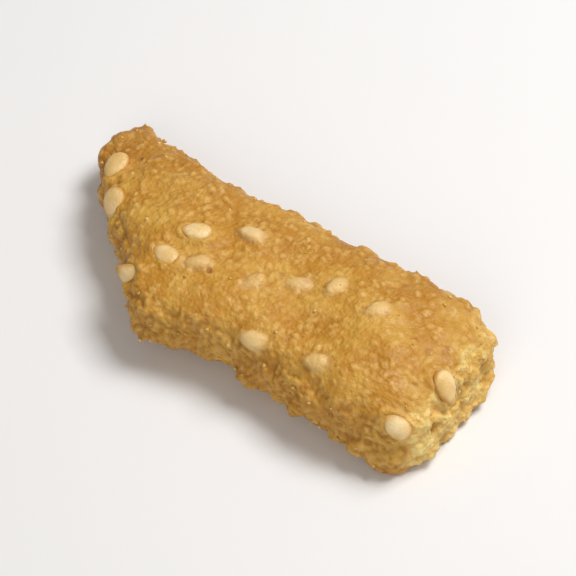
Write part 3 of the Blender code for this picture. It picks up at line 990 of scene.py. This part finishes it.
def crust_material(colours):
    """Fried dough: golden, with pale and toasted patches, painted shade in the creases, the pores and
    the break's hollows and at the tapered end and far side, painted highlights on high spots and grain
    tops, seeds that show through, and pale crumb with painted glints where it broke."""
    material, tree, shader = new_material("fried crust")
    colour = mottled(tree, colours.golden, colours.pale, patches=380.0, softness=0.12)
    # Browning, with painted shade at the tapered end, the sides and the far side
    colour = tint(tree, colour, "toast_and_shade", 0.70, colours.toasted)
    # Painted shade in the valleys, and a painted highlight on the high spots
    colour = tint(tree, colour, "valley_shade", 0.65, colours.valley_shade)
    colour = tint(tree, colour, "raised", 0.40, colours.pale)
    # Pale painted highlight on the tops of grains
    colour = tint(tree, colour, "grain", 0.50, colours.grain)
    colour = specked(tree, colour, colours.grain, specks=1300.0, share=0.30, size=0.55, strength=0.5)
    colour = specked(tree, colour, colours.toasted, specks=1000.0, share=0.22, size=0.45, strength=0.7)
    colour = tint(tree, colour, "film", 0.52, colours.seed)
    # Painted shade in the break's hollows, and painted glints on it
    crumb = tint(tree, colours.crumb, "hollow_shade", 0.75, colours.crumb_shade)
    crumb = mottled(tree, crumb, colours.pale, patches=600.0, softness=0.25)
    # Painted glints on the broken end
    crumb = specked(tree, crumb, colours.crumb_glint, specks=1300.0, share=0.35, size=0.6, strength=0.6)
    colour = tint(tree, colour, "broken", 0.95, crumb)
    # Painted shade in the pores
    colour = tint(tree, colour, "pore", 0.8, colours.pore)
    paint(tree, shader, colour, Oily=0.38, Dry=0.68, Patches=900.0)
    shader.inputs["Specular IOR Level"].default_value = 0.35
    shader.inputs["Coat Weight"].default_value = 0.09
    shader.inputs["Coat Roughness"].default_value = 0.24
    soften(shader, weight=0.06, depth=0.0005)
    grain = use_group(tree, "Grain", Grains=3300.0, Domes=0.8)
    rougher = calculate(tree, "ADD", calculate(tree, "MULTIPLY", mark(tree, "broken"), 0.4), 1.0)
    smoother = calculate(tree, "MULTIPLY", mark(tree, "film"), 0.75)
    share = calculate(tree, "SUBTRACT", rougher, smoother)
    height = calculate(tree, "MULTIPLY", grain, share)
    add_bump(tree, shader, height, distance=0.00009, strength=1.0)
    return material


def seed_material(colours):
    """A toasted sesame seed: cream with tan patches, tanner at its point, softly shiny."""
    material, tree, shader = new_material("sesame seed")
    colour = mottled(tree, colours.seed, colours.seed_tan, patches=520.0, softness=0.22)
    colour = tint(tree, colour, "tip", 0.45, colours.seed_tan)
    colour = tint(tree, colour, "tone", 0.30, colours.seed_tan)
    colour = specked(tree, colour, colours.seed_tan, specks=1800.0, share=0.30, size=0.5, strength=0.5)
    colour = tint(tree, colour, "rim", 0.85, colours.golden)
    paint(tree, shader, colour, Oily=0.30, Dry=0.55, Patches=1200.0)
    shader.inputs["Specular IOR Level"].default_value = 0.45
    soften(shader, weight=0.15, depth=0.0005)
    grain = use_group(tree, "Grain", Grains=5200.0, Domes=0.4)
    add_bump(tree, shader, grain, distance=0.00005, strength=0.8)
    return material


def crumb_material(colours):
    """Loose crumbs: pale and golden bits, dull and rough."""
    material, tree, shader = new_material("loose crumb")
    colour = mottled(tree, colours.flake, colours.pale, patches=700.0, softness=0.12)
    paint(tree, shader, colour, Oily=0.35, Dry=0.60, Patches=1500.0)
    soften(shader, weight=0.2, depth=0.0004)
    grain = use_group(tree, "Grain", Grains=9000.0, Domes=0.5)
    add_bump(tree, shader, grain, distance=0.00003, strength=0.8)
    return material


def floor_material(colours):
    """A plain pale studio floor, very slightly uneven."""
    material, tree, shader = new_material("studio floor")
    shade = tuple(FLOOR_UNEVENNESS * channel for channel in colours.floor)
    colour = mottled(tree, colours.floor, shade, patches=6.0, softness=0.3)
    paint(tree, shader, colour, Oily=0.55, Dry=0.65, Patches=40.0)
    return material


def settings():
    """The add-on's settings in the current scene."""
    return bpy.context.scene.sesame_stick


class SNACK_OT_add_crust(bpy.types.Operator):
    """Adds the fried crust with its broken end, in place of the plain solid"""

    bl_idname = "snack.add_crust"
    bl_label = "Fried Crust"

    def execute(self, context):
        points, _, marks = crust_grid(settings().sizes)
        marks = {name: values[None] for name, values in marks.items()}
        piece = closed_mesh("fried_crust", to_frame(points)[None], marks)
        piece.data.materials.append(crust_material(settings().colours))
        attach(piece, BODY)
        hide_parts(NODE)
        return {"FINISHED"}


class SNACK_OT_add_seeds(bpy.types.Operator):
    """Adds the sesame seeds that lie bare on the crust"""

    bl_idname = "snack.add_seeds"
    bl_label = "Sesame Seeds"

    def execute(self, context):
        grids, marks = seed_grids(settings().sizes)
        piece = closed_mesh("sesame_seeds", to_frame(grids), marks)
        piece.data.materials.append(seed_material(settings().colours))
        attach(piece, BODY)
        return {"FINISHED"}


class SNACK_OT_add_crumbs(bpy.types.Operator):
    """Adds the loose crumbs that stick to the crust"""

    bl_idname = "snack.add_crumbs"
    bl_label = "Loose Crumbs"

    def execute(self, context):
        sizes = settings().sizes
        points, normals, marks = crust_grid(sizes)
        piece = closed_mesh("loose_crumbs", to_frame(crumb_grids(points, normals, marks, sizes)))
        piece.data.materials.append(crumb_material(settings().colours))
        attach(piece, BODY)
        return {"FINISHED"}


def add_floor(colours):
    """A flat round floor at the foot of the stick: a disc, and rings of faces round it."""
    radius, spin = np.meshgrid(FLOOR_RADII, full_turn(FLOOR_SIDES), indexing="ij")
    level = np.full_like(spin, -FLOOR_DROP)
    corners = np.stack([radius * np.cos(spin), radius * np.sin(spin), level], axis=-1)
    rings = np.arange(corners.size // 3).reshape(radius.shape)
    turned = np.roll(rings, -1, axis=1)
    quads = np.stack([rings[:-1], rings[1:], turned[1:], turned[:-1]], axis=-1)
    faces = [*quads.reshape(-1, 4).tolist(), rings[0].tolist()]
    mesh = bpy.data.meshes.new("studio_floor")
    mesh.from_pydata(corners.reshape(-1, 3).tolist(), [], faces)
    mesh.materials.append(floor_material(colours))
    floor = bpy.data.objects.new("studio_floor", mesh)
    bpy.context.scene.collection.objects.link(floor)


def direction(azimuth, elevation):
    """The direction from the stick towards a viewer: azimuth 0 stands at -Y, in degrees."""
    turn, rise = math.radians(azimuth), math.radians(elevation)
    level = math.cos(rise)
    return Vector((math.sin(turn) * level, -math.cos(turn) * level, math.sin(rise)))


def add_light(target, name, azimuth, elevation, distance, size, power, colour):
    """A square soft light that looks at the stick from that side."""
    light = bpy.data.lights.new(name, "AREA")
    light.size = size
    light.energy = power
    light.color = colour
    lamp = bpy.data.objects.new(name, light)
    back = direction(azimuth, elevation)
    lamp.location = target + distance * back
    lamp.rotation_euler = (-back).to_track_quat("-Z", "Y").to_euler()
    bpy.context.scene.collection.objects.link(lamp)


def add_camera(target):
    """A long lens at the photograph's angle, close enough for the stick to fill the frame."""
    camera = bpy.data.cameras.new("camera")
    camera.lens = CAMERA_LENS
    camera.clip_start = CAMERA_CLIP
    eye = bpy.data.objects.new("camera", camera)
    back = direction(*CAMERA_ANGLE)
    eye.location = target + Vector(CAMERA_SHIFT) + CAMERA_DISTANCE * back
    eye.rotation_euler = (-back).to_track_quat("-Z", "Y").to_euler()
    bpy.context.scene.collection.objects.link(eye)
    bpy.context.scene.camera = eye


def add_world():
    """An even pale surround."""
    world = bpy.data.worlds.new("studio")
    world.use_nodes = True
    background = world.node_tree.nodes["Background"]
    background.inputs["Color"].default_value = (*SURROUND, 1)
    background.inputs["Strength"].default_value = SURROUND_STRENGTH
    bpy.context.scene.world = world


class SNACK_OT_add_studio(bpy.types.Operator):
    """Adds a plain pale floor, soft lights and the camera"""

    bl_idname = "snack.add_studio"
    bl_label = "Studio"

    def execute(self, context):
        low, high = CAD_BOX
        target = (low + high) / 2
        add_floor(settings().colours)
        for name, values in LIGHTS.items():
            add_light(target, name, *values)
        add_camera(target)
        add_world()
        context.scene.view_settings.view_transform = "Standard"
        return {"FINISHED"}


class SNACK_PT_panel(bpy.types.Panel):
    """The operators, sizes and colours of the stick"""

    bl_label = "Sesame Stick"
    bl_idname = "SNACK_PT_panel"
    bl_space_type = "VIEW_3D"
    bl_region_type = "UI"
    bl_category = "Snack"

    def draw(self, context):
        for operator in OPERATORS:
            self.layout.operator(operator.bl_idname)
        for group in (settings().sizes, settings().colours):
            box = self.layout.box()
            for name in group.__annotations__:
                box.prop(group, name)


OPERATORS = (SNACK_OT_add_crust, SNACK_OT_add_seeds, SNACK_OT_add_crumbs, SNACK_OT_add_studio)
CLASSES = (StickSizes, StickColours, StickSettings, *OPERATORS, SNACK_PT_panel)


def register():
    """Adds the classes, and the settings to the scene."""
    for kind in CLASSES:
        bpy.utils.register_class(kind)
    bpy.types.Scene.sesame_stick = PointerProperty(type=StickSettings)


def unregister():
    """Takes the settings and the classes away again."""
    del bpy.types.Scene.sesame_stick
    for kind in reversed(CLASSES):
        bpy.utils.unregister_class(kind)


def main():
    """Adds every piece in turn."""
    register()
    bpy.ops.snack.add_crust()
    bpy.ops.snack.add_seeds()
    bpy.ops.snack.add_crumbs()
    bpy.ops.snack.add_studio()


if __name__ == "__main__":
    main()
